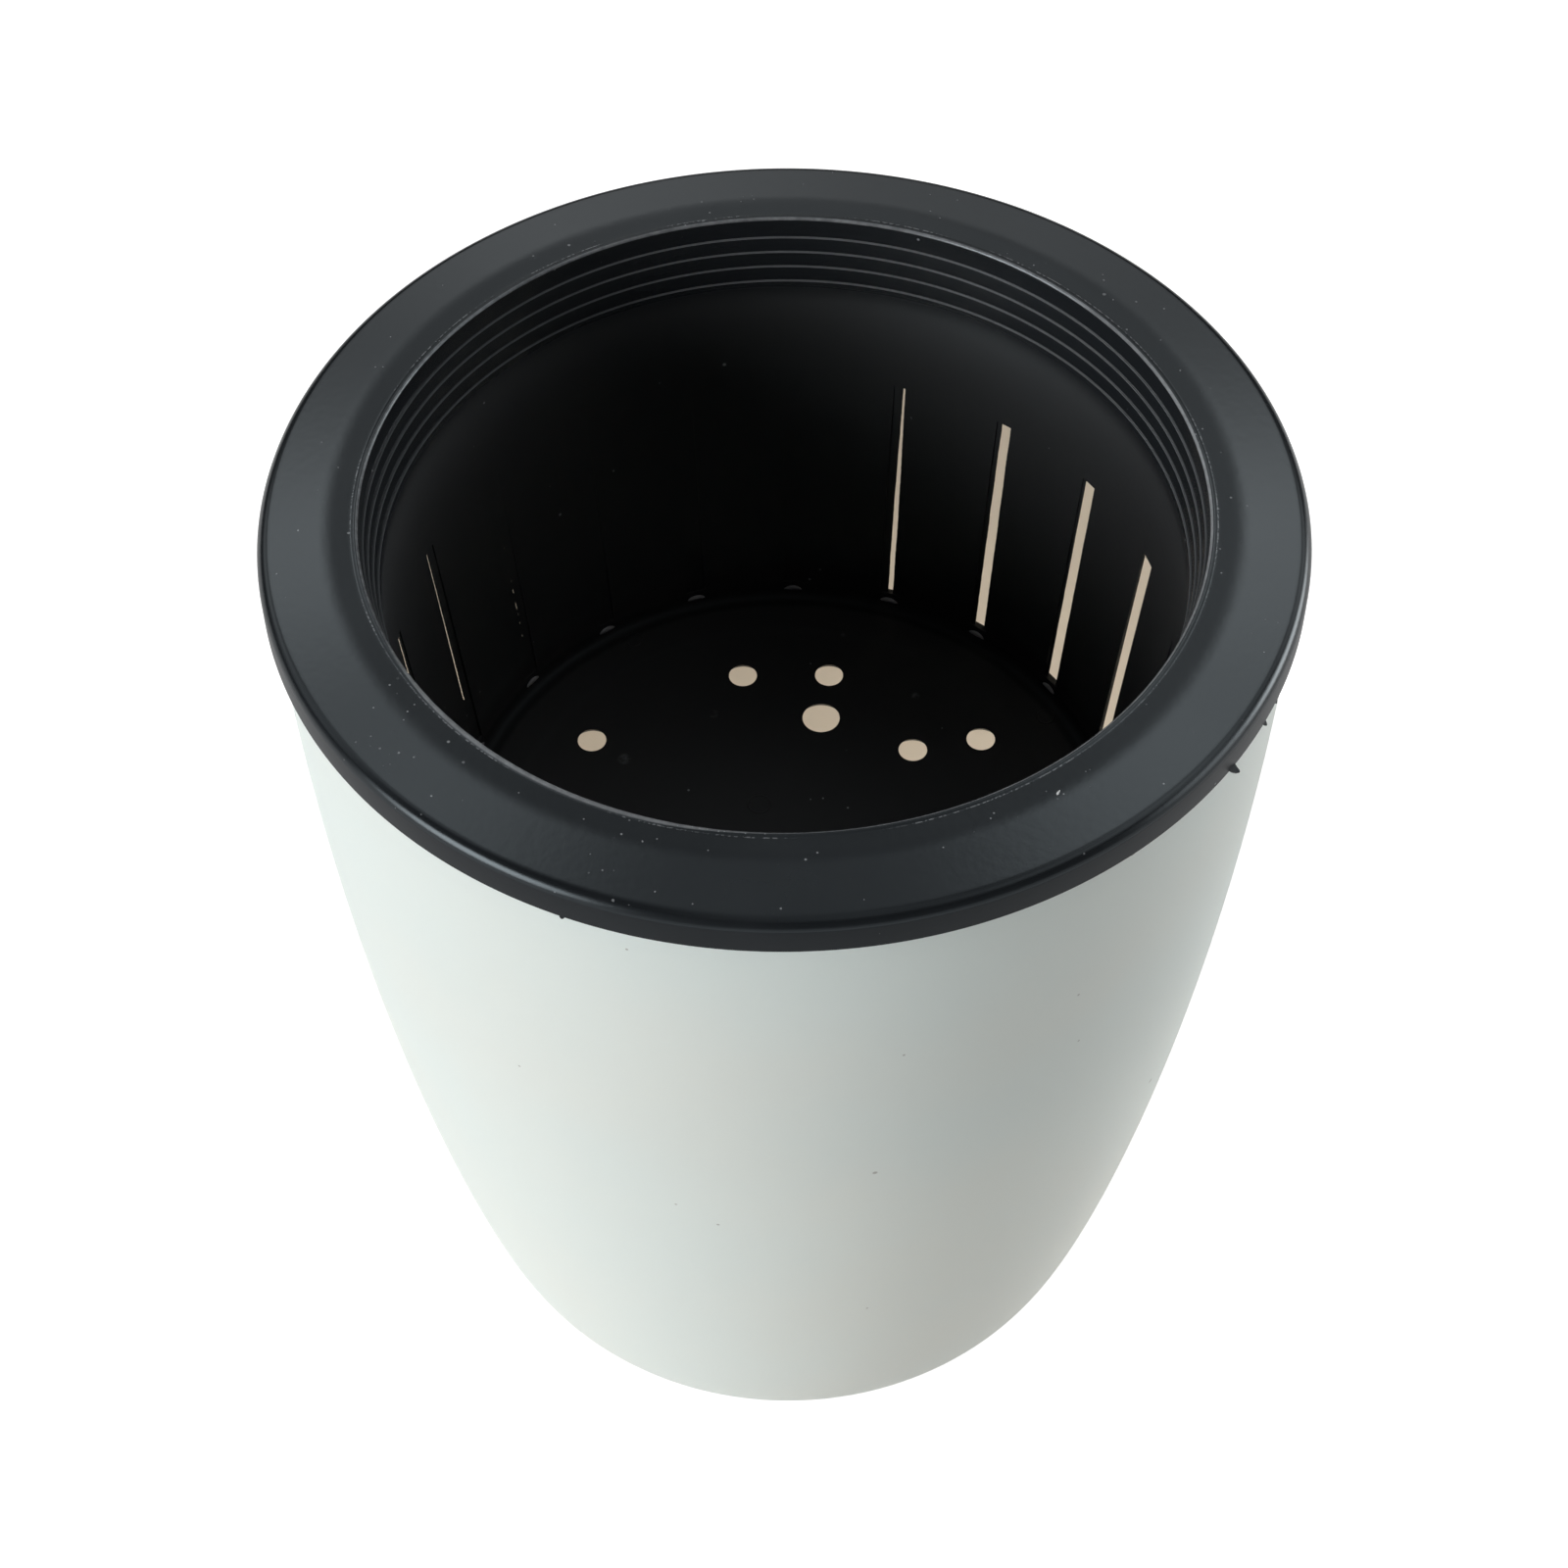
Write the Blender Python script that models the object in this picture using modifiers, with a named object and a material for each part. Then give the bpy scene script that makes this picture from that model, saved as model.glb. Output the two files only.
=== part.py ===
# Self-watering pot: a white water pot with a black slotted basket hanging in its mouth.
# Metres, +Z up. The origin is the middle of the foot, on the surface that the pot stands on.

import math

import bmesh
import bpy
from mathutils import Matrix, Vector

mm = 0.001

# Outer pot, which holds the water
pot_height = 193.7 * mm
mouth_radius = 88.4 * mm
foot_radius = 65.7 * mm      # where the toe's round runs into the wall
pot_wall = 1.8 * mm
pot_floor = 2.6 * mm
toe_round = 4.2 * mm
toe_lean = math.radians(35)  # how far the wall leans out from upright just above the toe
toe_pull = 6.1 * mm          # length of the wall curve's handle at the toe
upright_share = 0.527        # share of the wall's height over which it turns upright
foot_ring_width = 7.0 * mm
foot_hollow = 1.0 * mm
pot_lip_round = 0.6 * mm
floor_corner = 3.0 * mm      # round between the water pot's floor and wall

# Basket, which holds the soil and hangs by its rim on the pot's mouth
seat_gap = 0.3 * mm          # between the pot's mouth and the rim that rests on it
skirt_gap = 0.35 * mm        # between the pot's wall and the rim's skirt
skirt_wall = 1.25 * mm
skirt_height = 7.4 * mm
rim_thickness = 2.0 * mm
rim_width = 17.4 * mm
rim_corner = 2.8 * mm
rim_crown = 0.9 * mm         # rise of the rim's lip over its outer edge
lip_round = 0.6 * mm
basket_wall = 1.3 * mm
basket_depth = 91.4 * mm     # from the top of the rim's outer edge to the floor
basket_taper = 6.25 * mm     # how much narrower the wall is at the floor than under the rings
upper_lean = 0.012           # how much the wall leans out between the slots and the rings
basket_floor = 1.5 * mm
basket_corner = 1.2 * mm

# Fine rings stepped into the wall under the lip
ring_count = 4
ring_pitch = 3.0 * mm
ring_step = 0.6 * mm
ring_slope = 0.35 * mm
first_ring_drop = 3.1 * mm   # from the top of the rim's outer edge

# Upright slots round the wall
slot_count = 20
slot_width = 3.9 * mm        # at the wall's inner face
slot_flare = 8.0 * mm        # at its outer face
slot_neck = 0.4 * mm         # depth over which a slot keeps its inner width
slot_sill = 1.6 * mm         # height of a slot's foot over the floor
slot_head_drop = 35.7 * mm   # from the top of the rim's outer edge to a slot's head
slot_turn = math.radians(1.5)
knee_share = 0.2             # where the wall's taper ends, between the slots and the rings

# Basket floor, with drain holes and larger holes for wicks
floor_ledge = 9.7 * mm       # width of the raised ledge round the floor
floor_drop = 0.6 * mm        # from that ledge down to the middle of the floor
drain_radius = 2.7 * mm
wick_radius = 3.6 * mm
# Each hole's place is in degrees from the back, and the share of the way out to the ledge
drain_places = [(-57.2, 0.84), (-11.6, 0.78), (12.0, 0.78), (49.2, 0.61), (57.8, 0.84)]
wick_place = (13.2, 0.57)

turn_steps = 60
arc_steps = 4
wall_steps = 12
hole_sides = 20
merge_limit = 0.01 * mm
cutter_reach = 1.0 * mm      # how far a cutter runs past the faces that it cuts

# Heights and radii that follow from the sizes above
rim_height = pot_height + seat_gap + rim_thickness
rim_radius = mouth_radius + skirt_gap + skirt_wall
lip_radius = rim_radius - rim_width
neck_radius = lip_radius - ring_count * ring_step
floor_radius = neck_radius - basket_taper
floor_height = rim_height - basket_depth
slot_foot = floor_height + slot_sill
slot_head = rim_height - slot_head_drop
last_ring = rim_height - first_ring_drop - (ring_count - 1) * ring_pitch
knee_height = slot_head + knee_share * (last_ring - slot_head)
knee_radius = neck_radius - upper_lean * (last_ring - knee_height)
taper_slope = (knee_radius - floor_radius) / (knee_height - floor_height)
ledge_radius = floor_radius - floor_ledge


def clear_objects():
    for item in list(bpy.data.objects):
        bpy.data.objects.remove(item, do_unlink=True)


def new_collection(name):
    collection = bpy.data.collections.new(name)
    bpy.context.scene.collection.children.link(collection)
    return collection


def plastic(name, color, roughness):
    material = bpy.data.materials.new(name)
    material.use_nodes = True
    shader = material.node_tree.nodes["Principled BSDF"]
    shader.inputs["Base Color"].default_value = (*color, 1.0)
    shader.inputs["Roughness"].default_value = roughness
    shader.inputs["Metallic"].default_value = 0.0
    return material


def arc(center, radius, start, end, steps=arc_steps):
    # Points round an arc in the section plane, in degrees up from the outward direction
    points = []
    for i in range(steps + 1):
        angle = math.radians(start + (end - start) * i / steps)
        points.append((center[0] + radius * math.cos(angle), center[1] + radius * math.sin(angle)))
    return points


def turned(name, profile, material, collection):
    # The profile runs up the inner side, over the top and down the outer side
    mesh = bpy.data.meshes.new(name)
    outline = bmesh.new()
    corners = [outline.verts.new((radius, 0.0, height)) for radius, height in profile]
    for start, end in zip(corners, corners[1:]):
        outline.edges.new((start, end))
    outline.to_mesh(mesh)
    outline.free()
    mesh.materials.append(material)
    piece = bpy.data.objects.new(name, mesh)
    collection.objects.link(piece)
    screw = piece.modifiers.new("turn", "SCREW")
    screw.axis = "Z"
    screw.angle = math.tau
    screw.steps = turn_steps
    screw.render_steps = turn_steps
    screw.use_merge_vertices = True
    screw.merge_threshold = merge_limit
    screw.use_smooth_shade = True
    return piece


def wall_point(t):
    # The pot wall's curve starts along the toe's lean and ends upright at the mouth
    start = Vector((foot_radius, toe_round * (1 - math.sin(toe_lean))))
    end = Vector((mouth_radius, pot_height))
    low = start + toe_pull * Vector((math.sin(toe_lean), math.cos(toe_lean)))
    high = end - Vector((0.0, upright_share * (end.y - start.y)))
    s = 1 - t
    return s**3 * start + 3 * s * s * t * low + 3 * s * t * t * high + t**3 * end


def wall_radius(height):
    low, high = 0.0, 1.0
    for _ in range(40):
        middle = (low + high) / 2
        if wall_point(middle).y < height:
            low = middle
        else:
            high = middle
    return wall_point(low).x


def build_pot(material, collection):
    inner_base = pot_floor + floor_corner
    inner_top = pot_height - pot_lip_round
    inner_foot = wall_radius(inner_base) - pot_wall
    profile = [(0.0, pot_floor)]
    profile += arc((inner_foot - floor_corner, inner_base), floor_corner, -90, 0)
    for i in range(1, wall_steps):
        height = inner_base + (inner_top - inner_base) * i / wall_steps
        profile.append((wall_radius(height) - pot_wall, height))
    inner_mouth = mouth_radius - pot_wall
    profile += arc((inner_mouth + pot_lip_round, inner_top), pot_lip_round, 180, 90, 2)
    profile += arc((mouth_radius - pot_lip_round, inner_top), pot_lip_round, 90, 0, 2)
    wall = [wall_point(1 - i / wall_steps) for i in range(1, wall_steps)]
    profile += [(point.x, point.y) for point in wall]
    toe_center = foot_radius - toe_round * math.cos(toe_lean)
    profile += arc((toe_center, toe_round), toe_round, -math.degrees(toe_lean), -90)
    ring_edge = toe_center - foot_ring_width
    profile += [(ring_edge, 0.0), (ring_edge - foot_hollow, foot_hollow), (0.0, foot_hollow)]
    return turned("outer_pot", profile, material, collection)


def basket_inside():
    middle = floor_height - floor_drop
    lean = math.degrees(math.atan(taper_slope))
    profile = [(0.0, middle), (ledge_radius - floor_drop, middle), (ledge_radius, floor_height)]
    corner = (floor_radius - basket_corner, floor_height + basket_corner)
    profile += arc(corner, basket_corner, -90, -lean, 3)
    profile.append((knee_radius, knee_height))
    for i in reversed(range(ring_count)):
        radius = lip_radius - i * ring_step
        height = rim_height - first_ring_drop - i * ring_pitch
        profile += [(radius - ring_step, height - ring_slope), (radius, height)]
    return profile


def rim_section():
    crown = rim_height + rim_crown
    edge = rim_radius - rim_corner
    profile = arc((lip_radius + lip_round, crown - lip_round), lip_round, 180, 90, 2)
    profile.append((lip_radius + 0.36 * (edge - lip_radius), crown))
    profile.append((lip_radius + 0.70 * (edge - lip_radius), crown - 0.3 * rim_crown))
    profile += arc((edge, rim_height - rim_corner), rim_corner, 84, 0, 5)
    inner_skirt = rim_radius - skirt_wall
    profile += [(rim_radius, rim_height - skirt_height), (inner_skirt, rim_height - skirt_height)]
    profile.append((inner_skirt, rim_height - rim_thickness))
    return profile


def basket_outside():
    underside = floor_height - basket_floor
    middle = underside - floor_drop
    corner = basket_corner + basket_floor
    profile = [(lip_radius + basket_wall, rim_height - rim_thickness)]
    profile.append((neck_radius + basket_wall, last_ring - ring_pitch))
    profile.append((knee_radius + basket_wall, knee_height))
    profile += arc((floor_radius + basket_wall - corner, underside + corner), corner, 0, -90, 3)
    profile += [(ledge_radius, underside), (ledge_radius - floor_drop, middle), (0.0, middle)]
    return profile


def build_basket(material, collection):
    profile = basket_inside() + rim_section() + basket_outside()
    return turned("inner_basket", profile, material, collection)


def new_cutter(name, shape, collection):
    mesh = bpy.data.meshes.new(name)
    bmesh.ops.recalc_face_normals(shape, faces=shape.faces)
    shape.to_mesh(mesh)
    shape.free()
    cutter = bpy.data.objects.new(name, mesh)
    cutter.hide_render = True
    cutter.display_type = "WIRE"
    collection.objects.link(cutter)
    return cutter


def add_slot(shape, turn):
    # One slot's plan, outward from the wall's inner face, is raised and leans with the wall
    half, wide = slot_width / 2, slot_flare / 2
    side = [(half, -cutter_reach), (half, slot_neck), (wide, basket_wall), (wide, basket_wall + cutter_reach)]
    plan = side + [(-x, y) for x, y in reversed(side)]
    face = shape.faces.new([shape.verts.new((x, y, 0.0)) for x, y in plan])
    raised = bmesh.ops.extrude_face_region(shape, geom=[face])["geom"]
    top = [item for item in raised if isinstance(item, bmesh.types.BMVert)]
    height = slot_head - slot_foot
    bmesh.ops.translate(shape, verts=top, vec=(0.0, taper_slope * height, height))
    foot_face = floor_radius + taper_slope * slot_sill
    place = Matrix.Rotation(-turn, 4, "Z") @ Matrix.Translation((0.0, foot_face, slot_foot))
    bmesh.ops.transform(shape, matrix=place, verts=list(face.verts) + top)


def slot_cutter(collection):
    shape = bmesh.new()
    for i in range(slot_count):
        add_slot(shape, slot_turn + math.tau * i / slot_count)
    return new_cutter("slot_cutter", shape, collection)


def hole_cutter(collection):
    # The holes of the back half come again half a turn on
    shape = bmesh.new()
    holes = [(place, drain_radius) for place in drain_places] + [(wick_place, wick_radius)]
    middle = floor_height - (floor_drop + basket_floor) / 2
    for (degrees, share), radius in holes:
        for half_turn in (0.0, math.pi):
            turn = Matrix.Rotation(-math.radians(degrees) - half_turn, 4, "Z")
            place = turn @ Matrix.Translation((0.0, share * ledge_radius, middle))
            depth = basket_floor + floor_drop + 2 * cutter_reach
            bmesh.ops.create_cone(
                shape, cap_ends=True, segments=hole_sides, radius1=radius, radius2=radius, depth=depth, matrix=place
            )
    return new_cutter("hole_cutter", shape, collection)


def cut(piece, cutter):
    boolean = piece.modifiers.new(cutter.name, "BOOLEAN")
    boolean.operation = "DIFFERENCE"
    boolean.solver = "EXACT"
    boolean.object = cutter


def main():
    clear_objects()
    parts = new_collection("self_watering_pot")
    cutters = new_collection("cutters")
    build_pot(plastic("white_plastic", (0.80, 0.83, 0.80), 0.32), parts)
    basket = build_basket(plastic("black_plastic", (0.016, 0.018, 0.020), 0.42), parts)
    cut(basket, slot_cutter(cutters))
    cut(basket, hole_cutter(cutters))


main()
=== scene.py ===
import math

import bmesh
import bpy
from mathutils import Matrix, Vector, noise


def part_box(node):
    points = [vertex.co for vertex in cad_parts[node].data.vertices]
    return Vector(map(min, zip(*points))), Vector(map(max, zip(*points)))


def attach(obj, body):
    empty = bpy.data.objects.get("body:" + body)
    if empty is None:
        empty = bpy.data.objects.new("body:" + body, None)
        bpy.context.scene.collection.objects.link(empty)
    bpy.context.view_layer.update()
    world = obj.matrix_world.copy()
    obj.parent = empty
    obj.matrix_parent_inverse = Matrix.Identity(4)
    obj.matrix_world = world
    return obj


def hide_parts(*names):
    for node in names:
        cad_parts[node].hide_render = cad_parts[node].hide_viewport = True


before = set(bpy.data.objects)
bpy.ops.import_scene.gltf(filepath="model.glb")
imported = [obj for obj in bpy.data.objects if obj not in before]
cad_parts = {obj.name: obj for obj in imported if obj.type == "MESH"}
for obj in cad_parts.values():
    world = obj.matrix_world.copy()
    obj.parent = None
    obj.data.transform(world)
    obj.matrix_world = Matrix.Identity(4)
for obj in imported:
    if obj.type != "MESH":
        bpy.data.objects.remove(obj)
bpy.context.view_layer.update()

mm = 0.001
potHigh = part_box("outer_pot")[1]
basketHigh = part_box("inner_basket")[1]
mergeReach = 0.002 * mm
sharpAngle, softAngle = 32, 60
print("frame: pot", tuple(potHigh), "basket", tuple(basketHigh))


# Mesh helpers

def polar(radius, degrees, height):
    # Degrees run from the back (+Y) towards the right (+X)
    turn = math.radians(degrees)
    return Vector((radius * math.sin(turn), radius * math.cos(turn), height))


def arcPoints(centre, radius, start, end, steps):
    points = []
    for i in range(steps + 1):
        angle = math.radians(start + (end - start) * i / steps)
        points.append((centre[0] + radius * math.cos(angle), centre[1] + radius * math.sin(angle)))
    return points


def smoothStep(low, high, value):
    t = min(1.0, max(0.0, (value - low) / (high - low)))
    return t * t * (3 - 2 * t)


def spinProfile(profile, steps):
    # The profile lists (radius, height) from the axis at the inside to the axis at the underside
    bm = bmesh.new()
    verts = [bm.verts.new((radius, 0.0, height)) for radius, height in profile]
    edges = [bm.edges.new(pair) for pair in zip(verts, verts[1:])]
    bmesh.ops.spin(
        bm, geom=verts + edges, cent=(0, 0, 0), axis=(0, 0, 1), angle=math.tau, steps=steps, use_merge=True
    )
    bmesh.ops.remove_doubles(bm, verts=bm.verts, dist=mergeReach)
    bmesh.ops.recalc_face_normals(bm, faces=bm.faces)
    return bm


def finishPiece(name, bm, material, body, sharpFrom=sharpAngle):
    mesh = bpy.data.meshes.new(name)
    bm.to_mesh(mesh)
    bm.free()
    mesh.materials.append(material)
    mesh.shade_smooth()
    mesh.set_sharp_from_angle(angle=math.radians(sharpFrom))
    piece = bpy.data.objects.new(name, mesh)
    bpy.context.scene.collection.objects.link(piece)
    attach(piece, body)
    return piece


def cutAway(piece, bm):
    mesh = bpy.data.meshes.new("cutter")
    bmesh.ops.recalc_face_normals(bm, faces=bm.faces)
    bm.to_mesh(mesh)
    bm.free()
    cutter = bpy.data.objects.new("cutter", mesh)
    bpy.context.scene.collection.objects.link(cutter)
    boolean = piece.modifiers.new("cut", "BOOLEAN")
    boolean.operation = "DIFFERENCE"
    boolean.solver = "EXACT"
    boolean.object = cutter
    bpy.context.view_layer.update()
    depsgraph = bpy.context.evaluated_depsgraph_get()
    cut = bpy.data.meshes.new_from_object(piece.evaluated_get(depsgraph))
    piece.modifiers.remove(boolean)
    old = piece.data
    name = old.name
    piece.data = cut
    bpy.data.meshes.remove(old)
    cut.name = name
    bpy.data.objects.remove(cutter)
    bpy.data.meshes.remove(mesh)


# Shader maths

class Value:
    def __init__(self, tree, socket=None):
        self.tree = tree
        self.socket = socket

    def node(self, kind, inputs=None, output=0, **settings):
        made = self.tree.nodes.new(kind)
        for name, setting in settings.items():
            setattr(made, name, setting)
        for name, value in (inputs or {}).items():
            if isinstance(value, Value):
                self.tree.links.new(value.socket, made.inputs[name])
            else:
                made.inputs[name].default_value = value
        return Value(self.tree, made.outputs[output] if made.outputs else None)

    def maths(self, operation, *values):
        return self.node("ShaderNodeMath", dict(enumerate(values)), operation=operation)

    def vector(self, operation, *values, output=0):
        return self.node("ShaderNodeVectorMath", dict(enumerate(values)), output, operation=operation)

    def mix(self, first, second):
        # This value is the factor between two colours
        return self.node("ShaderNodeMix", {0: self, 6: first, 7: second}, 2, data_type="RGBA")

    def steps(self, low, high):
        # 0 below low and 1 above high, with a smooth change between; low may be the larger
        inputs = {"Value": self, "From Min": low, "From Max": high}
        return self.node("ShaderNodeMapRange", inputs, interpolation_type="SMOOTHSTEP")

    def fade(self, level, ends):
        # Steps whose ends are measured from a level
        return self.steps(level + ends[0], level + ends[1])

    def smallest(self, other):
        return self.maths("MINIMUM", self, other)

    def largest(self, other):
        return self.maths("MAXIMUM", self, other)

    def __add__(self, other):
        return self.maths("ADD", self, other)

    def __sub__(self, other):
        return self.maths("SUBTRACT", self, other)

    def __rsub__(self, other):
        return self.maths("SUBTRACT", other, self)

    def __mul__(self, other):
        return self.maths("MULTIPLY", self, other)

    def __truediv__(self, other):
        return self.maths("DIVIDE", self, other)

    def __pow__(self, other):
        return self.maths("POWER", self, other)

    __radd__ = __add__
    __rmul__ = __mul__


def newMaterial(name):
    material = bpy.data.materials.new(name)
    material.use_nodes = True
    tree = material.node_tree
    tree.nodes.clear()
    return material, Value(tree)


def surface(base, shader):
    base.node("ShaderNodeOutputMaterial", {"Surface": shader})


def place(base):
    # Object coordinates: the place, its radius from the axis, and its height
    point = base.node("ShaderNodeTexCoord", output="Object")
    parts = {}
    for index, axis in enumerate("xyz"):
        parts[axis] = base.node("ShaderNodeSeparateXYZ", {0: point}, index)
    radius = (parts["x"] ** 2 + parts["y"] ** 2) ** 0.5
    return point, radius, parts


def towards(base, point, degrees, inner, outer):
    # 1 within the inner angle of a direction round the axis, 0 beyond the outer angle
    level = base.vector("NORMALIZE", base.vector("MULTIPLY", point, (1, 1, 0)))
    facing = base.vector("DOT_PRODUCT", level, polar(1.0, degrees, 0.0), output=1)
    return facing.steps(math.cos(math.radians(outer)), math.cos(math.radians(inner)))


def grain(base, point, scale, detail=2.0, roughness=0.5):
    inputs = {"Vector": point, "Scale": scale, "Detail": detail, "Roughness": roughness}
    return base.node("ShaderNodeTexNoise", inputs)


def specks(base, point, scale, size, share, softness=0.3):
    # Scattered dots: one in each cell of a 3-D pattern, kept for a share of the cells
    inputs = {"Vector": point, "Scale": scale}
    distance = base.node("ShaderNodeTexVoronoi", inputs)
    colour = base.node("ShaderNodeTexVoronoi", inputs, 1)
    pick = base.node("ShaderNodeSeparateColor", {0: colour}, 0)
    reach = base.node("ShaderNodeSeparateColor", {0: colour}, 1) * size + size * 0.35
    dot = (distance / reach).steps(1.0, 1.0 - softness)
    return dot * pick.maths("LESS_THAN", pick, share)


# Camera and light

cameraView = dict(place=(0.0001, -0.3866, 0.5899), down=50.53, aside=-0.07, roll=-0.45, lens=73.86, sensor=36.0)


def addCamera(view):
    data = bpy.data.cameras.new("camera")
    data.lens = view["lens"]
    data.sensor_width = view["sensor"]
    camera = bpy.data.objects.new("camera", data)
    bpy.context.scene.collection.objects.link(camera)
    aside = Matrix.Rotation(-math.radians(view["aside"]), 4, "Z")
    tilt = Matrix.Rotation(math.radians(90 - view["down"]), 4, "X")
    roll = Matrix.Rotation(math.radians(view["roll"]), 4, "Z")
    camera.matrix_world = Matrix.Translation(view["place"]) @ aside @ tilt @ roll
    bpy.context.scene.camera = camera


studio = dict(
    boxes=[
        # Strength, azimuth, elevation, and the angles of the core and of the edge
        (14.1, -123, 9, 3, 26), (0.25, 120, 65, 5, 25), (0.10, 150, 5, 3, 26), (7.8, 68, 8, 3, 20),
        (3.2, 90, 9, 3, 26), (0.203, -20, 66, 4, 18),
        # Those that the rim's corner mirrors
        (0.8, 84, 46, 4, 18), (0.7, -70, 33, 4, 18), (1.3, 46, 32, 3, 14), (1.1, -46, 32, 3, 14),
        (1.0, 58, 56, 3, 17), (0.7, -54, 56, 3, 17), (0.30, 0, 87, 3, 18), (0.35, 110, 56, 3, 16),
        (0.20, 180, 66, 3, 18),
        # Narrow ones that the rim mirrors
        (0.289, -28, 51, 1, 8), (2.8, -26, 44, 1, 8), (1.69, -26, 58, 1, 8), (1.02, -22, 38, 1, 8),
        (0.195, -17, 64, 1, 8), (1.18, -12, 29, 1, 8), (0.152, -11, 38, 2, 13), (0.262, -11, 48, 1, 8),
        (0.122, -9, 42, 1, 8), (0.6, -6, 27, 1, 8), (0.852, 0, 26, 1, 8), (0.625, 0, 40, 1, 8),
        (0.216, 0, 66, 1, 8), (0.265, 6, 27, 1, 8), (0.256, 9, 42, 1, 8), (0.521, 11, 48, 1, 8),
        (0.949, 12, 29, 1, 8), (0.27, 17, 64, 1, 8), (1.47, 22, 38, 1, 8), (2.41, 26, 44, 1, 8),
        (2.33, 26, 58, 1, 8), (1.12, 28, 51, 1, 8),
    ],
    floorSize=6.0, floorPale=0.35, floorGlow=0.93,
    shownTo=("Is Camera Ray", "Is Glossy Ray", "Is Transmission Ray"),
)


def softBox(base, direction, box):
    # A bright patch of the studio: strength, azimuth, elevation, and the angles of its core and its edge
    strength, azimuth, elevation, core, edge = box
    flat = math.cos(math.radians(elevation))
    aim = polar(flat, azimuth, math.sin(math.radians(elevation)))
    facing = base.vector("DOT_PRODUCT", direction, aim, output=1)
    return facing.steps(math.cos(math.radians(edge)), math.cos(math.radians(core))) * strength


def addWorld(studio):
    world = bpy.data.worlds.new("studio")
    bpy.context.scene.world = world
    world.use_nodes = True
    world.node_tree.nodes.clear()
    base = Value(world.node_tree)
    direction = base.node("ShaderNodeTexCoord", output="Generated")
    level = softBox(base, direction, studio["boxes"][0])
    for box in studio["boxes"][1:]:
        level = level + softBox(base, direction, box)
    level = level.largest(base.node("ShaderNodeLightPath", output="Is Camera Ray"))
    glow = base.node("ShaderNodeBackground", {"Color": (1, 1, 1, 1), "Strength": level})
    base.node("ShaderNodeOutputWorld", {"Surface": glow})


def addFloor(studio):
    bm = bmesh.new()
    bmesh.ops.create_grid(bm, x_segments=2, y_segments=2, size=studio["floorSize"])
    mesh = bpy.data.meshes.new("floor")
    bm.to_mesh(mesh)
    bm.free()
    floor = bpy.data.objects.new("floor", mesh)
    bpy.context.scene.collection.objects.link(floor)
    material, base = newMaterial("floorWhite")
    seen = None
    for name in studio["shownTo"]:
        ray = base.node("ShaderNodeLightPath", output=name)
        seen = ray if seen is None else seen.largest(ray)
    pale = studio["floorPale"]
    diffuse = base.node("ShaderNodeBsdfDiffuse", {"Color": (pale, pale, pale, 1)})
    glow = base.node("ShaderNodeEmission", {"Color": (1, 1, 1, 1), "Strength": studio["floorGlow"]})
    shown = base.node("ShaderNodeAddShader", {0: glow, 1: diffuse})
    surface(base, base.node("ShaderNodeMixShader", {0: seen, 1: diffuse, 2: shown}))
    mesh.materials.append(material)


addCamera(cameraView)
addWorld(studio)
addFloor(studio)
bpy.context.scene.view_settings.view_transform = "Standard"
print("camera, light and floor made")


# White water pot

potShape = dict(
    mouthRadius=potHigh.x, height=potHigh.z, footRadius=65.7 * mm, wall=1.8 * mm, floor=2.6 * mm,
    toeRound=4.2 * mm, toeLean=35, toePull=6.1 * mm, uprightShare=0.527, footRing=7.0 * mm, hollow=1.0 * mm,
    lipRound=0.6 * mm, floorCorner=3.0 * mm, wallSteps=72, cornerSteps=8, lipSteps=4, toeSteps=10, turnSteps=288,
)
halvings = 40


def wallCurve(shape, t):
    lean = math.radians(shape["toeLean"])
    start = Vector((shape["footRadius"], shape["toeRound"] * (1 - math.sin(lean))))
    end = Vector((shape["mouthRadius"], shape["height"]))
    low = start + shape["toePull"] * Vector((math.sin(lean), math.cos(lean)))
    high = end - Vector((0.0, shape["uprightShare"] * (end.y - start.y)))
    rest = 1 - t
    return rest**3 * start + 3 * rest * rest * t * low + 3 * rest * t * t * high + t**3 * end


def wallRadius(shape, height):
    low, high = 0.0, 1.0
    for _ in range(halvings):
        middle = (low + high) / 2
        if wallCurve(shape, middle).y < height:
            low = middle
        else:
            high = middle
    return wallCurve(shape, low).x


def potProfile(shape):
    corner, wall, lip, lipSteps = shape["floorCorner"], shape["wall"], shape["lipRound"], shape["lipSteps"]
    innerBase = shape["floor"] + corner
    innerTop = shape["height"] - lip
    innerFoot = wallRadius(shape, innerBase) - wall
    profile = [(0.0, shape["floor"])]
    profile += arcPoints((innerFoot - corner, innerBase), corner, -90, 0, shape["cornerSteps"])
    for i in range(1, shape["wallSteps"]):
        height = innerBase + (innerTop - innerBase) * i / shape["wallSteps"]
        profile.append((wallRadius(shape, height) - wall, height))
    profile += arcPoints((shape["mouthRadius"] - wall + lip, innerTop), lip, 180, 90, lipSteps)
    profile += arcPoints((shape["mouthRadius"] - lip, innerTop), lip, 90, 0, lipSteps)
    for i in range(1, shape["wallSteps"]):
        point = wallCurve(shape, 1 - i / shape["wallSteps"])
        profile.append((point.x, point.y))
    toe = shape["toeRound"]
    toeCentre = shape["footRadius"] - toe * math.cos(math.radians(shape["toeLean"]))
    profile += arcPoints((toeCentre, toe), toe, -shape["toeLean"], -90, shape["toeSteps"])
    ringEdge = toeCentre - shape["footRing"]
    profile += [(ringEdge, 0.0), (ringEdge - shape["hollow"], shape["hollow"]), (0.0, shape["hollow"])]
    return profile


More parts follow.
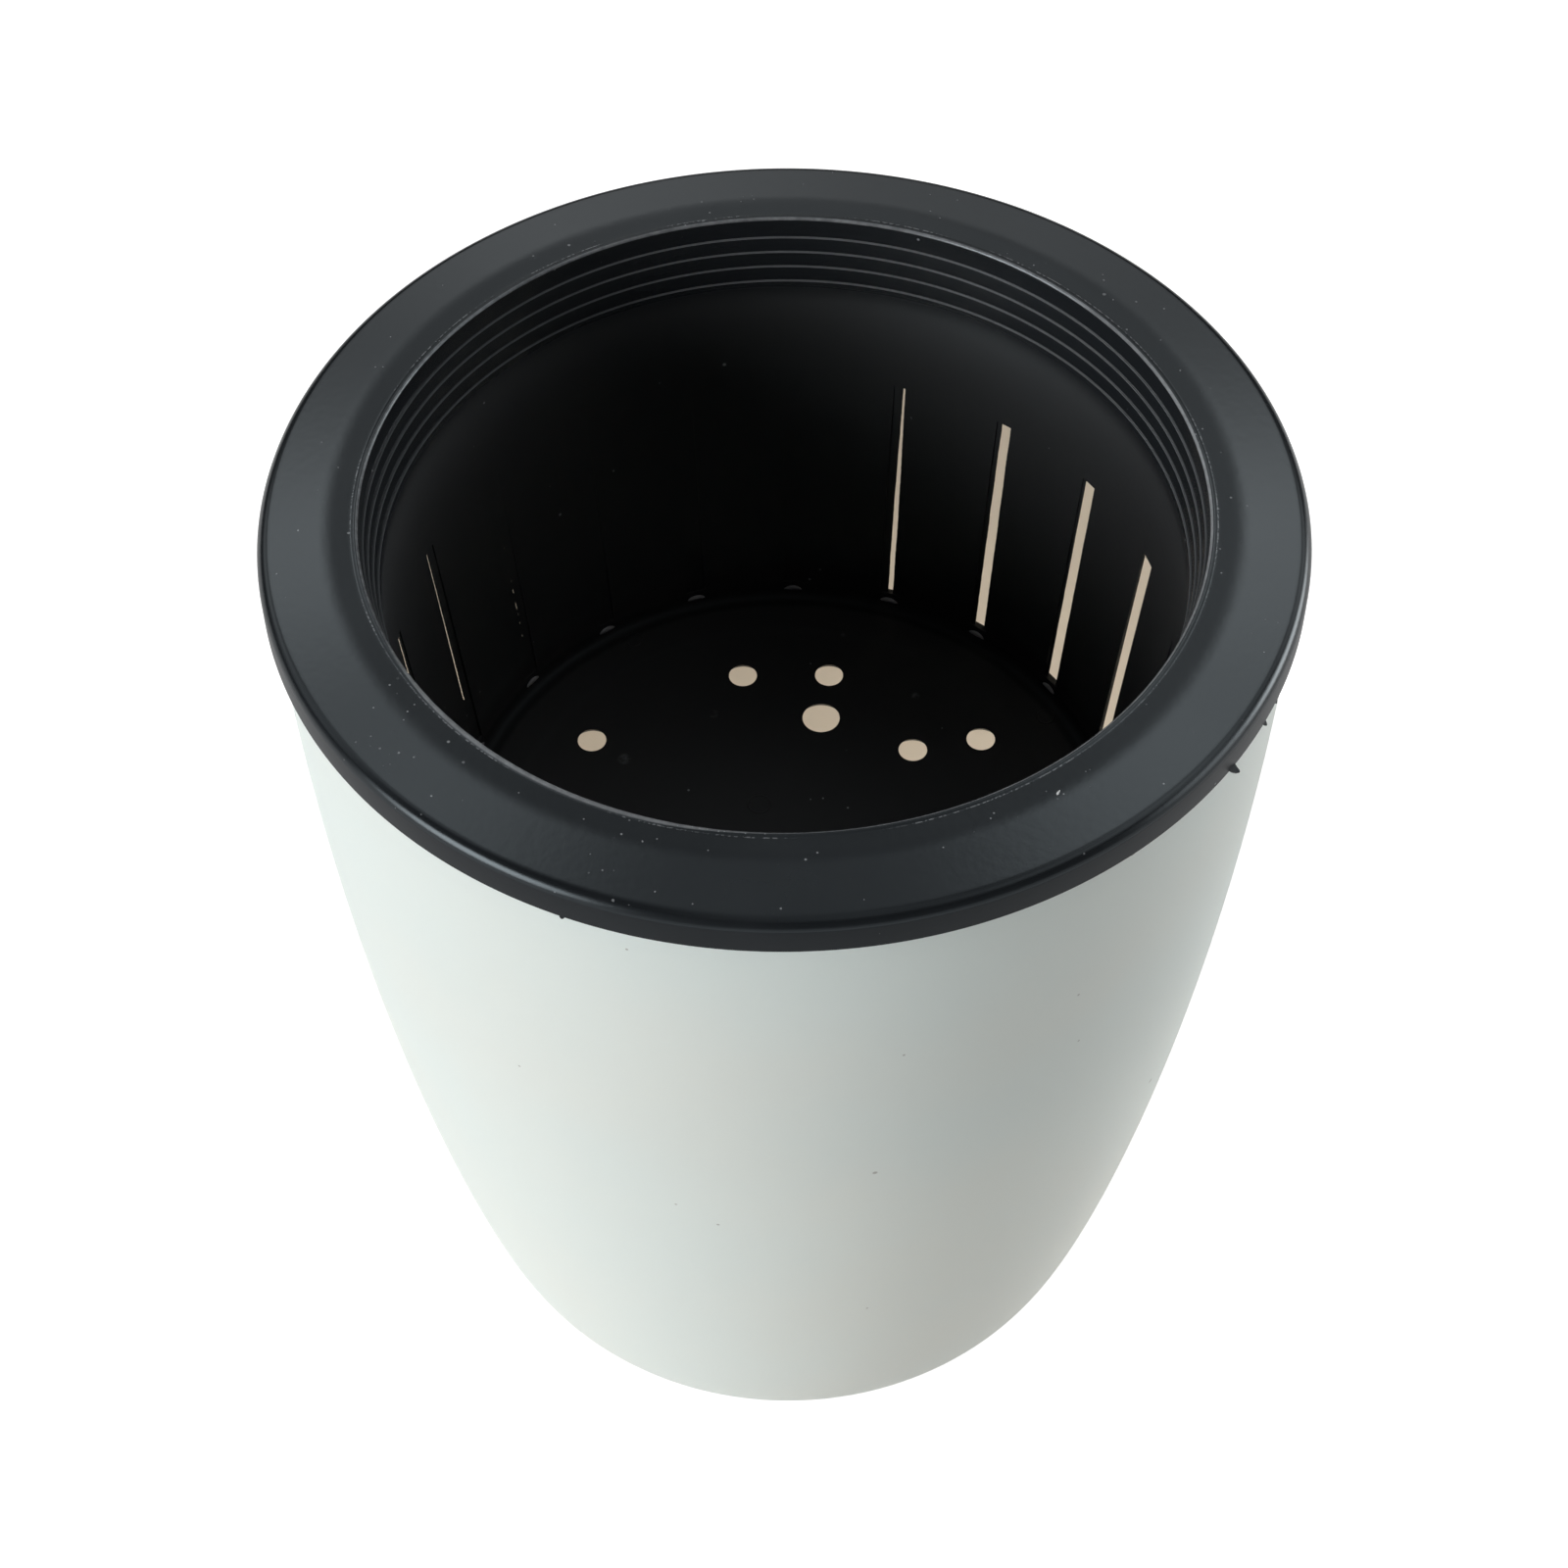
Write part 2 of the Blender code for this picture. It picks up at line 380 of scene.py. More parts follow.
# Moulded-in dark specks: degrees from the back, height and size
potSpecks = [
    (123.4, 86.4, 1.1), (169.8, 115.3, 0.9), (144.8, 136.5, 0.5), (146.2, 152.7, 0.5), (167.4, 153.8, 0.5),
    (188.8, 96.1, 0.6), (193.9, 101.6, 0.5), (169.1, 56.7, 0.5), (212.3, 133.3, 0.5), (196.6, 182.5, 0.5),
    (70.0, 60.0, 0.7), (15.0, 120.0, 0.6), (330.0, 80.0, 0.7), (275.0, 140.0, 0.5), (300.0, 30.0, 0.6),
]
whiteLook = dict(
    # The tint for the inside is painted shade: the same white plastic, darker and warmer beige inside the pot
    colour=(0.75, 0.84, 0.835, 1), warm=(0.78, 0.84, 0.82, 1), paintedInside=(0.73, 0.67, 0.58, 1),
    glow=(0.80, 0.74, 0.66, 1), plainGlow=(0.97, 0.97, 0.97, 1), speck=(0.10, 0.09, 0.08, 1),
    wallThrough=0.36, insideThrough=0.70, floorThrough=0.80, roughness=0.36, roughSpread=0.12, ior=1.48,
    specular=0.35, cloudScale=14.0, cloudLevels=(0.35, 0.75), fineScale=900.0, waveScale=30.0, waveShare=2,
    dust=(150.0, 0.035, 0.02), speckStrength=0.75, dustStrength=0.35, bumpStrength=0.06, bumpDepth=0.2 * mm,
    # Which way the wall faces, and the floor's height and reach, each as the ends of a fade
    outwardFade=(-2 * mm, 2 * mm), floorHeight=(8 * mm, 4 * mm), floorReach=(-3 * mm, -8 * mm),
)
spotFade = (0.65, 0.3)


def spots(base, point, centres):
    # A mask of small round marks from (centre, size) pairs
    marks = None
    for centre, size in centres:
        distance = base.vector("DISTANCE", point, centre, output=1)
        mark = distance.steps(size * spotFade[0], size * spotFade[1])
        marks = mark if marks is None else marks.largest(mark)
    return marks


def whitePlastic(look, shape):
    material, base = newMaterial("whitePlastic")
    point, radius, parts = place(base)
    facing = base.node("ShaderNodeTexCoord", output="Normal")
    outward = base.vector("DOT_PRODUCT", facing, base.vector("MULTIPLY", point, (1, 1, 0)), output=1)
    outside = outward.steps(*look["outwardFade"])
    cloud = grain(base, point, look["cloudScale"], 3.0)
    tint = cloud.steps(*look["cloudLevels"]).mix(look["colour"], look["warm"])
    # Painted shade: faces that look inwards take the darker warm tint
    tint = outside.mix(look["paintedInside"], tint)
    centres = []
    for degrees, height, size in potSpecks:
        centres.append((polar(wallRadius(shape, height * mm), degrees, height * mm), size * mm))
    dots = spots(base, point, centres) * look["speckStrength"]
    dust = specks(base, point, *look["dust"]) * look["dustStrength"]
    tint = (dots + dust).mix(tint, look["speck"])
    fine = grain(base, point, look["fineScale"])
    wave = grain(base, point, look["waveScale"], 1.0) * look["waveShare"]
    bumpInputs = {"Strength": look["bumpStrength"], "Distance": look["bumpDepth"], "Height": fine + wave}
    shell = base.node("ShaderNodeBsdfPrincipled", {
        "Base Color": tint, "Roughness": cloud * look["roughSpread"] + look["roughness"],
        "Normal": base.node("ShaderNodeBump", bumpInputs),
        "IOR": look["ior"], "Specular IOR Level": look["specular"],
    })
    # Light comes through the wall plain, and through the inside and the floor warmer
    plainGlow = base.node("ShaderNodeBsdfTranslucent", {"Color": look["plainGlow"]})
    warmGlow = base.node("ShaderNodeBsdfTranslucent", {"Color": look["glow"]})
    through = base.node("ShaderNodeMixShader", {0: outside, 1: warmGlow, 2: plainGlow})
    bottom = parts["z"].steps(*look["floorHeight"]) * radius.fade(shape["footRadius"], look["floorReach"])
    share = outside * (look["wallThrough"] - look["insideThrough"]) + look["insideThrough"]
    share = share.largest(bottom * look["floorThrough"])
    surface(base, base.node("ShaderNodeMixShader", {0: share, 1: shell, 2: through}))
    return material


def buildPot(shape, material):
    bm = spinProfile(potProfile(shape), shape["turnSteps"])
    pot = finishPiece("potShell", bm, material, "water_pot")
    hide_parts("outer_pot")


buildPot(potShape, whitePlastic(whiteLook, potShape))
print("water pot made")


# Black basket

basketShape = dict(
    rimRadius=basketHigh.x, crown=basketHigh.z, rimCrown=0.9 * mm, rimWidth=17.4 * mm, rimCorner=2.4 * mm,
    rimThickness=2.0 * mm, lipRound=0.5 * mm, lipBead=0.55 * mm, beadDrop=0.12 * mm, bendPlace=5.6 * mm,
    bendWidth=3.2 * mm, rimSlope=7.0, rimSteps=30, cornerEnd=20, skirtHeight=7.4 * mm, skirtWall=1.25 * mm,
    wall=1.3 * mm, depth=91.4 * mm, taper=6.25 * mm, upperLean=0.012, floor=1.5 * mm, corner=2.6 * mm,
    ringCount=4, ringPitch=3.0 * mm, ringStep=0.6 * mm, ringLedge=0.32 * mm, ringTilt=0.07 * mm,
    firstRing=3.3 * mm, ringRound=0.10 * mm, slotHeadDrop=35.7 * mm, kneeShare=0.2, ledge=9.7 * mm,
    ledgeStart=0.3 * mm, ledgeRun=1.2 * mm, cornerRun=1.0 * mm, floorDrop=0.15 * mm, dropRun=1.0 * mm,
    dropRound=0.2 * mm, floorRings=(0.0, 0.15, 0.3, 0.45, 0.6, 0.75, 0.88, 0.96, 0.985, 1.0),
    rimStart=0.3 * mm, rimStartDrop=0.02 * mm, edgeInset=0.03 * mm, edgeRun=0.3 * mm, skirtRound=0.2 * mm,
    cornerSteps=8, lipSteps=6, rimCornerSteps=14, turnSteps=300,
)
slotShape = dict(
    count=20, width=3.9 * mm, flare=8.0 * mm, neck=0.4 * mm, sill=3.3 * mm, turn=1.5, reach=1.0 * mm,
)
holeShape = dict(
    drainRadius=2.78 * mm, wickRadius=3.66 * mm, undercut=1.0 * mm, clearance=0.06 * mm, sides=48,
    # Degrees from the back, and the radius as a share of the lowered floor's
    wick=(13.2, 0.57), drains=[(-57.2, 0.84), (-11.6, 0.78), (12.0, 0.78), (49.2, 0.61), (57.8, 0.84)],
)


def basketSizes(shape, slot):
    # Heights and radii that follow from the shape
    rimHeight = shape["crown"] - shape["rimCrown"]
    lip = shape["rimRadius"] - shape["rimWidth"]
    neck = lip - shape["ringCount"] * shape["ringStep"]
    floorHeight = rimHeight - shape["depth"]
    slotHead = rimHeight - shape["slotHeadDrop"]
    lastRing = rimHeight - shape["firstRing"] - (shape["ringCount"] - 1) * shape["ringPitch"]
    kneeHeight = slotHead + shape["kneeShare"] * (lastRing - slotHead)
    kneeRadius = neck - shape["upperLean"] * (lastRing - kneeHeight)
    floorRadius = neck - shape["taper"]
    return dict(
        rimHeight=rimHeight, lip=lip, neck=neck, floorHeight=floorHeight, slotHead=slotHead,
        slotFoot=floorHeight + slot["sill"], lastRing=lastRing, kneeHeight=kneeHeight, kneeRadius=kneeRadius,
        floorRadius=floorRadius, slope=(kneeRadius - floorRadius) / (kneeHeight - floorHeight),
        ledgeRadius=floorRadius - shape["ledge"], skirtFoot=rimHeight - shape["skirtHeight"],
    )


def insideProfile(shape, size):
    floor, ledge, drop = size["floorHeight"], size["ledgeRadius"], shape["floorDrop"]
    bend, run = shape["corner"], shape["ledgeStart"]
    # Rings across the level floor keep its shading level
    profile = [((ledge - shape["dropRun"]) * share, floor - drop) for share in shape["floorRings"]]
    profile += [(ledge - shape["dropRound"], floor - 0.3 * drop), (ledge + run, floor)]
    corner = (size["floorRadius"] - bend, floor + bend)
    profile += [(ledge + shape["ledgeRun"], floor), (corner[0] - shape["cornerRun"], floor)]
    lean = math.degrees(math.atan(size["slope"]))
    profile += arcPoints(corner, bend, -90, -lean, shape["cornerSteps"])
    profile.append((size["kneeRadius"], size["kneeHeight"]))
    edge = shape["ringRound"]
    firstRing = size["rimHeight"] - shape["firstRing"]
    for i in reversed(range(shape["ringCount"])):
        inner = size["lip"] - (i + 1) * shape["ringStep"]
        height = firstRing - i * shape["ringPitch"]
        profile += [(inner, height - edge), (inner + edge * 0.3, height - edge * 0.3), (inner + edge, height)]
        profile.append((inner + shape["ringLedge"], height - shape["ringTilt"]))
    profile.append((size["lip"], firstRing + shape["ringPitch"] * 0.8))
    return profile


def rimDrop(shape, size, radius):
    # The rim is level next to the lip, and beyond a soft bend it slopes down to its corner
    bend = size["lip"] + shape["bendPlace"]
    half = shape["bendWidth"] / 2
    share = min(1.0, max(0.0, (radius - bend + half) / shape["bendWidth"]))
    fall = half * share * share + max(0.0, radius - bend - half)
    return fall * math.tan(math.radians(shape["rimSlope"]))


def rimProfile(shape, size):
    crown, lipRound, bead = shape["crown"], shape["lipRound"], shape["lipBead"]
    beadStart = size["lip"] + lipRound
    profile = arcPoints((beadStart, crown - lipRound), lipRound, 180, 90, shape["lipSteps"])
    profile += [(beadStart + bead * 0.5, crown), (beadStart + bead, crown - shape["beadDrop"])]
    start = beadStart + bead + shape["rimStart"]
    top = crown - shape["beadDrop"] - shape["rimStartDrop"]
    radius = shape["rimCorner"]
    edge = shape["rimRadius"] - radius
    slope = math.radians(shape["rimSlope"])
    reach = edge + radius * math.sin(slope)
    for i in range(shape["rimSteps"]):
        spot = start + (reach - start) * i / shape["rimSteps"]
        profile.append((spot, top - rimDrop(shape, size, spot)))
    centre = (edge, top - rimDrop(shape, size, reach) - radius * math.cos(slope))
    corner = arcPoints(centre, radius, 90 - shape["rimSlope"], shape["cornerEnd"], shape["rimCornerSteps"])
    profile += corner
    outer, last = shape["rimRadius"], corner[-1][1]
    run, bevel = shape["edgeRun"], shape["skirtRound"]
    profile += [(outer - shape["edgeInset"], last - run), (outer, last - 2 * run)]
    inner = outer - shape["skirtWall"]
    foot = size["skirtFoot"]
    profile += [(outer, foot + bevel), (outer - bevel, foot), (inner, foot)]
    profile.append((inner, size["rimHeight"] - shape["rimThickness"]))
    return profile


def outsideProfile(shape, size):
    wall = shape["wall"]
    underside = size["floorHeight"] - shape["floor"]
    middle = underside - shape["floorDrop"]
    bend = shape["corner"] + shape["floor"]
    profile = [(size["lip"] + wall, size["rimHeight"] - shape["rimThickness"])]
    profile.append((size["neck"] + wall, size["lastRing"] - shape["ringPitch"]))
    profile.append((size["kneeRadius"] + wall, size["kneeHeight"]))
    corner = (size["floorRadius"] + wall - bend, underside + bend)
    profile += arcPoints(corner, bend, 0, -90, shape["cornerSteps"])
    profile += [(size["ledgeRadius"], underside), (size["ledgeRadius"] - shape["floorDrop"], middle), (0.0, middle)]
    return profile


def addSlotCutter(bm, shape, slot, size, turn):
    half, wide, reach, wall = slot["width"] / 2, slot["flare"] / 2, slot["reach"], shape["wall"]
    side = [(half, -reach), (half, slot["neck"]), (wide, wall), (wide, wall + reach)]
    plan = side + [(-x, y) for x, y in reversed(side)]
    face = bm.faces.new([bm.verts.new((x, y, 0.0)) for x, y in plan])
    raised = bmesh.ops.extrude_face_region(bm, geom=[face])["geom"]
    top = [item for item in raised if isinstance(item, bmesh.types.BMVert)]
    height = size["slotHead"] - size["slotFoot"]
    bmesh.ops.translate(bm, verts=top, vec=(0.0, size["slope"] * height, height))
    footFace = size["floorRadius"] + size["slope"] * slot["sill"]
    spot = Matrix.Rotation(-turn, 4, "Z") @ Matrix.Translation((0.0, footFace, size["slotFoot"]))
    bmesh.ops.transform(bm, matrix=spot, verts=list(face.verts) + top)


def slotCutter(shape, slot, size):
    bm = bmesh.new()
    for i in range(slot["count"]):
        addSlotCutter(bm, shape, slot, size, math.radians(slot["turn"]) + math.tau * i / slot["count"])
    return bm


def holeCutter(shape, hole, size):
    bm = bmesh.new()
    holes = [(spot, hole["drainRadius"]) for spot in hole["drains"]] + [(hole["wick"], hole["wickRadius"])]
    top = size["floorHeight"] - shape["floorDrop"] + hole["clearance"]
    depth = shape["floor"] + 2 * hole["clearance"]
    for (degrees, share), radius in holes:
        for halfTurn in (0, 180):
            centre = polar(share * size["ledgeRadius"], degrees + halfTurn, top - depth / 2)
            bmesh.ops.create_cone(
                bm, cap_ends=True, segments=hole["sides"], radius1=radius + hole["undercut"], radius2=radius,
                depth=depth, matrix=Matrix.Translation(centre),
            )
    return bm


# Larger dust specks on the rim: degrees from the back, radius and size
rimSpecks = [
    (225.2, 76.1, 0.5), (199.5, 77.2, 0.38), (221.2, 85.2, 0.35), (154.7, 76.4, 0.32), (196.8, 77.6, 0.3),
    (232.3, 77.1, 0.32), (177.8, 78.1, 0.4), (232.7, 75.4, 0.3), (66.0, 76.9, 0.3), (55.0, 84.0, 0.34),
    (103.7, 75.2, 0.3), (237.2, 76.5, 0.36), (295.4, 78.6, 0.25), (176.4, 76.9, 0.34), (37.7, 75.0, 0.3),
    (195.3, 76.5, 0.26), (50.1, 77.8, 0.26), (204.5, 76.6, 0.28), (259.7, 86.7, 0.3), (155.4, 77.1, 0.3),
    (191.6, 73.0, 0.32), (190.7, 73.1, 0.36), (189.7, 73.1, 0.30), (188.3, 73.2, 0.30), (187.6, 73.1, 0.26),
    (193.4, 73.3, 0.24), (185.0, 73.2, 0.24), (182.6, 73.1, 0.22), (180.6, 86.8, 0.34), (213.3, 76.9, 0.24),
    (300.8, 81.8, 0.24), (265.9, 82.7, 0.34), (162.1, 79.6, 0.26),
    (193.7, 85.9, 0.3), (136.2, 86.6, 0.3), (189.1, 77.1, 0.24), (189.6, 87.0, 0.26), (146.1, 78.6, 0.3),
]
# Specks on the wall inside: degrees, height above the floor and size
wallSpecks = [(-9.3, 59.1, 0.7), (-40.2, 36.1, 0.6), (21.0, 49.0, 0.5), (171.0, 59.0, 0.7), (140.0, 36.0, 0.6)]
# Smudges on the floor: degrees, radius and size
floorSmudges = [
    (-58.0, 37.4, 2.6), (-24.6, 34.5, 2.0), (36.2, 44.2, 1.8), (12.7, 53.5, 0.9), (122.0, 37.4, 2.6),
    (155.4, 34.5, 2.0),
]
blackLook = dict(
    # The pale tint serves scuffs, dust and specks, and the painted highlight along the lip
    colour=(0.0088, 0.0102, 0.0118, 1), dusty=(0.0120, 0.0136, 0.0155, 1), paleWearAndHighlight=(0.22, 0.23, 0.24, 1),
    # The tints for the inside and the floor are painted light, lighter than the rim's though the plastic is the
    # same; the corner's tint is painted shade at the foot of the wall
    paintedInside=(0.0225, 0.0230, 0.0242, 1), floor=(0.0270, 0.0272, 0.0282, 1), corner=(0.0125, 0.0128, 0.0134, 1),
    # The edge tint is the painted highlight on the rings' ledges
    edge=(0.115, 0.120, 0.125, 1), tint=(0.80, 0.93, 1.0, 1), specular=0.46, skirtSpecular=0.10, roughness=0.50,
    rimRoughness=0.22, roughSpread=0.06, roughStart=0.03, skirtRoughness=0.42, bumpStrength=0.08,
    bumpDepth=0.2 * mm, cloudScale=22.0, cloudLevels=(0.42, 0.78), fineScale=700.0, raggedScale=520.0,
    patchScale=60.0,
    # The ends of the fades between zones, from the rim's top, the floor, the floor's edge and the lip's crown
    topZone=(-18 * mm, -12 * mm), rimZone=(-2.7 * mm, -1.9 * mm), lowZone=(9 * mm, 4 * mm),
    cornerShadeHeight=(3.0 * mm, 1.2 * mm), cornerShadeReach=(-4.2 * mm, -2.8 * mm), lipHeight=(-0.55 * mm, -0.35 * mm),
    lipEdge=(-0.1 * mm, 0.1 * mm),
    # Wear and painted highlight on the lip: its usual and widest bands, and each side's direction with its inner
    # and outer angles
    lipBand=0.42 * mm, wideBand=1.0 * mm, bandFade=(1.15, 0.8), wideSide=(213, 8, 34), litSide=(40, 25, 100),
    highlightSide=(115, 25, 65), raggedLevels=(0.25, 0.75),
    # How strong the lip's pale band is: in ragged spots of wear, at the widest side, as painted highlight at the
    # lit side and at the right, and everywhere as an even painted highlight
    bandShares=(0.35, 0.35, 0.24, 0.3, 0.18),
    # The second line, outside the first
    secondLine=1.25 * mm, secondFade=(0.16 * mm, 0.05 * mm), secondScale=1500.0, secondLevels=(0.46, 0.58),
    secondPatches=(0.42, 0.58), secondShare=0.6,
    # Dust: scale, size and share of each layer; then the patches that the last two keep to
    thinDust=(420.0, 0.09, 0.045), sparseDust=(200.0, 0.06, 0.03), lipDust=(330.0, 0.10, 0.22),
    rimDust=(520.0, 0.11, 0.45), lipPatches=(0.42, 0.62), rimPatches=(0.48, 0.60), lipReach=(9 * mm, 3 * mm),
    rimDustShare=0.8, dustShare=0.8, smudgeLevels=(0.35, 0.7), smudgeShare=0.3,
    # The rings' painted highlight, in shares of their pitch, and the matte zones from the rim's outer edge
    ringFade=(0.045, 0.025), ringStart=(-0.4, -0.3), ringEnd=(-0.6, -0.7), ringReach=(-0.05 * mm, -0.15 * mm),
    litRing=0.6, plainRing=0.4, skirtReach=(-4 * mm, -3 * mm), skirtHeight=(-2.0 * mm, -2.5 * mm),
    backSide=(0, 65, 95), backReach=(-2.2 * mm, -1.0 * mm), backShare=0.7, edgeReach=(-1.0 * mm, -0.3 * mm),
    edgeShare=0.6,
)


def wearAndHighlightMask(look, base, point, radius, parts, size, crown, onRim):
    # Scuffs and dust, and a painted highlight along the lip: its pale band runs all round, most and widest at the
    # front left, and is painted brighter at the lit right
    ragged = grain(base, point, look["raggedScale"], 3.0, 0.7)
    patchy = grain(base, point, look["patchScale"])
    lip = size["lip"]
    sides = [towards(base, point, *look[side]) for side in ("wideSide", "litSide", "highlightSide")]
    wideSide, litSide, highlightSide = sides
    width = wideSide * (look["wideBand"] - look["lipBand"]) + look["lipBand"]
    band = ((radius - lip) / width).steps(*look["bandFade"]) * parts["z"].fade(crown, look["lipHeight"])
    shares = look["bandShares"]
    wearAndHighlight = ragged.steps(*look["raggedLevels"]) * shares[0] + wideSide * shares[1] + litSide * shares[2]
    wearAndHighlight = band * (wearAndHighlight + highlightSide * shares[3] + shares[4])
    # A second ragged line lies outside the first
    second = base.maths("ABSOLUTE", radius - (lip + look["secondLine"])).steps(*look["secondFade"])
    second = second * grain(base, point, look["secondScale"]).steps(*look["secondLevels"])
    second = second * patchy.steps(*look["secondPatches"]) * onRim
    # Dust lies thinly everywhere and in patches on the rim, most of it next to the lip
    dust = specks(base, point, *look["thinDust"]).largest(specks(base, point, *look["sparseDust"]))
    nearLip = radius.fade(lip, look["lipReach"]) * onRim
    dust = dust.largest(specks(base, point, *look["lipDust"]) * nearLip * patchy.steps(*look["lipPatches"]))
    patches = patchy.steps(*look["rimPatches"]) * onRim * look["rimDustShare"]
    dust = dust.largest(specks(base, point, *look["rimDust"]) * patches)
    wearAndHighlight = wearAndHighlight.largest(second * look["secondShare"]).largest(dust * look["dustShare"])
    return wearAndHighlight.largest(marksMask(look, base, point, parts, size, ragged))


def marksMask(look, base, point, parts, size, ragged):
    # Single specks on the rim and the wall, and smudges on the floor
    rimTop, floor = size["rimHeight"], size["floorHeight"]
    level = {"X": parts["x"], "Y": parts["y"], "Z": parts["z"].largest(rimTop).smallest(rimTop)}
    flat = base.node("ShaderNodeCombineXYZ", level)
    onRim = [(polar(radius * mm, degrees, rimTop), reach * mm) for degrees, radius, reach in rimSpecks]
    onWall = []
    for degrees, height, reach in wallSpecks:
        wallFoot = size["floorRadius"] + size["slope"] * height * mm
        onWall.append((polar(wallFoot, degrees, floor + height * mm), reach * mm))
    onFloor = [(polar(radius * mm, degrees, floor), reach * mm) for degrees, radius, reach in floorSmudges]
    smudges = spots(base, point, onFloor) * ragged.steps(*look["smudgeLevels"]) * look["smudgeShare"]
    return spots(base, flat, onRim).largest(spots(base, point, onWall)).largest(smudges)


def ringHighlightMask(look, base, point, radius, parts, shape, size):
    # Painted highlight: the rings' ledges are lighter, most at the lit right of the back
    height = (size["rimHeight"] - shape["firstRing"] - parts["z"]) / shape["ringPitch"]
    off = base.maths("ABSOLUTE", base.maths("FRACT", height + 0.5) - 0.5)
    onRing = off.steps(*look["ringFade"]) * height.steps(*look["ringStart"])
    onRing = onRing * radius.fade(size["lip"], look["ringReach"]) * height.fade(shape["ringCount"], look["ringEnd"])
    return onRing * (towards(base, point, *look["litSide"]) * look["litRing"] + look["plainRing"])


def blackPlastic(look, shape, size):
    material, base = newMaterial("blackPlastic")
    point, radius, parts = place(base)
    rimTop, outer = size["rimHeight"], shape["rimRadius"]
    cloud = grain(base, point, look["cloudScale"], 4.0, 0.6)
    fine = grain(base, point, look["fineScale"], 3.0)
    nearTop = parts["z"].fade(rimTop, look["topZone"])
    # Painted light and shade low in the basket: the inside wall and the floor lighter, and painted shade in the
    # corner where the wall meets the floor
    low = parts["z"].fade(size["floorHeight"], look["lowZone"])
    cornerShade = parts["z"].fade(size["floorHeight"], look["cornerShadeHeight"])
    cornerShade = cornerShade * radius.fade(size["floorRadius"], look["cornerShadeReach"])
    paintedLowTint = low.mix(look["paintedInside"], cornerShade.mix(look["floor"], look["corner"]))
    tint = nearTop.mix(paintedLowTint, cloud.steps(*look["cloudLevels"]).mix(look["colour"], look["dusty"]))
    onRim = parts["z"].fade(rimTop, look["rimZone"]) * radius.fade(size["lip"], look["lipEdge"])
    # Scuffs and dust, with painted highlights along the lip and on the rings' ledges
    tint = wearAndHighlightMask(look, base, point, radius, parts, size, shape["crown"], onRim).mix(tint, look["paleWearAndHighlight"])
    tint = ringHighlightMask(look, base, point, radius, parts, shape, size).mix(tint, look["edge"])
    bumpInputs = {"Strength": look["bumpStrength"], "Distance": look["bumpDepth"], "Height": fine + cloud}
    shared = {"Base Color": tint, "Normal": base.node("ShaderNodeBump", bumpInputs), "Specular Tint": look["tint"]}
    rough = nearTop * (look["rimRoughness"] - look["roughness"]) + cloud * look["roughSpread"]
    rough = rough + (look["roughness"] - look["roughStart"])
    satin = base.node("ShaderNodeBsdfPrincipled", {
        **shared, "Roughness": rough, "Specular IOR Level": look["specular"],
    })
    matte = base.node("ShaderNodeBsdfPrincipled", {
        **shared, "Roughness": look["skirtRoughness"], "Specular IOR Level": look["skirtSpecular"],
    })
    # The skirt, the rim's far edge and the foot of the wall are matte
    onSkirt = radius.fade(outer, look["skirtReach"]) * parts["z"].fade(rimTop, look["skirtHeight"])
    backEdge = towards(base, point, *look["backSide"]) * radius.fade(outer, look["backReach"]) * look["backShare"]
    outerEdge = radius.fade(outer, look["edgeReach"]) * look["edgeShare"]
    dull = onSkirt.largest(backEdge).largest(outerEdge * onRim).largest(low)
    surface(base, base.node("ShaderNodeMixShader", {0: dull, 1: satin, 2: matte}))
    return material


# Painted highlights: the pale strips on the closed slots and the pale slot feet; the second look is the flake's own
# pale plastic
highlightLook = dict(faint=(0.20, 0.20, 0.21, 1), pale=(0.46, 0.46, 0.47, 1))
flakeLook = dict(faint=(0.62, 0.64, 0.64, 1), pale=(0.80, 0.82, 0.82, 1))
paleFinish = dict(patchScale=70.0, patchLevels=(0.3, 0.7), roughness=0.5, specular=0.3)


def palePlastic(name, look, finish):
    material, base = newMaterial(name)
    patchy = grain(base, place(base)[0], finish["patchScale"])
    tint = patchy.steps(*finish["patchLevels"]).mix(look["faint"], look["pale"])
    surface(base, base.node("ShaderNodeBsdfPrincipled", {
        "Base Color": tint, "Roughness": finish["roughness"], "Specular IOR Level": finish["specular"],
    }))
    return material


def buildBasket(shape, slot, hole, size, material):
    profile = insideProfile(shape, size) + rimProfile(shape, size) + outsideProfile(shape, size)
    bm = spinProfile(profile, shape["turnSteps"])
    basket = finishPiece("basketShell", bm, material, "basket")
    cutAway(basket, slotCutter(shape, slot, size))
    cutAway(basket, holeCutter(shape, hole, size))
    basket.data.shade_smooth()
    basket.data.set_sharp_from_angle(angle=math.radians(sharpAngle))
    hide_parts("inner_basket")


sizes = basketSizes(basketShape, slotShape)
black = blackPlastic(blackLook, basketShape, sizes)
paintedHighlight = palePlastic("palePlastic", highlightLook, paleFinish)
bright = palePlastic("brightFlake", flakeLook, paleFinish)
buildBasket(basketShape, slotShape, holeShape, sizes, black)
print("basket made")


# Thin moulding films left across the slots

filmShape = dict(
    recess=0.35 * mm, closedRecess=0.12 * mm, thickness=0.15 * mm, reach=2.35 * mm, rows=72, ragged=0.10 * mm,
    overlap=0.05 * mm, dotted=-3, dottedPart=(0.20, 0.68), dotSize=0.30 * mm, dotScale=84.0, dotFade=(-0.05, 0.25),
    waveScale=9.0, fineScale=60.0, waveShare=0.6, fineShare=0.5, wander=0.2 * mm, headFade=(0.35, 1.0),
    footLap=0.3 * mm, headLap=0.3 * mm, least=0.05 * mm,
)
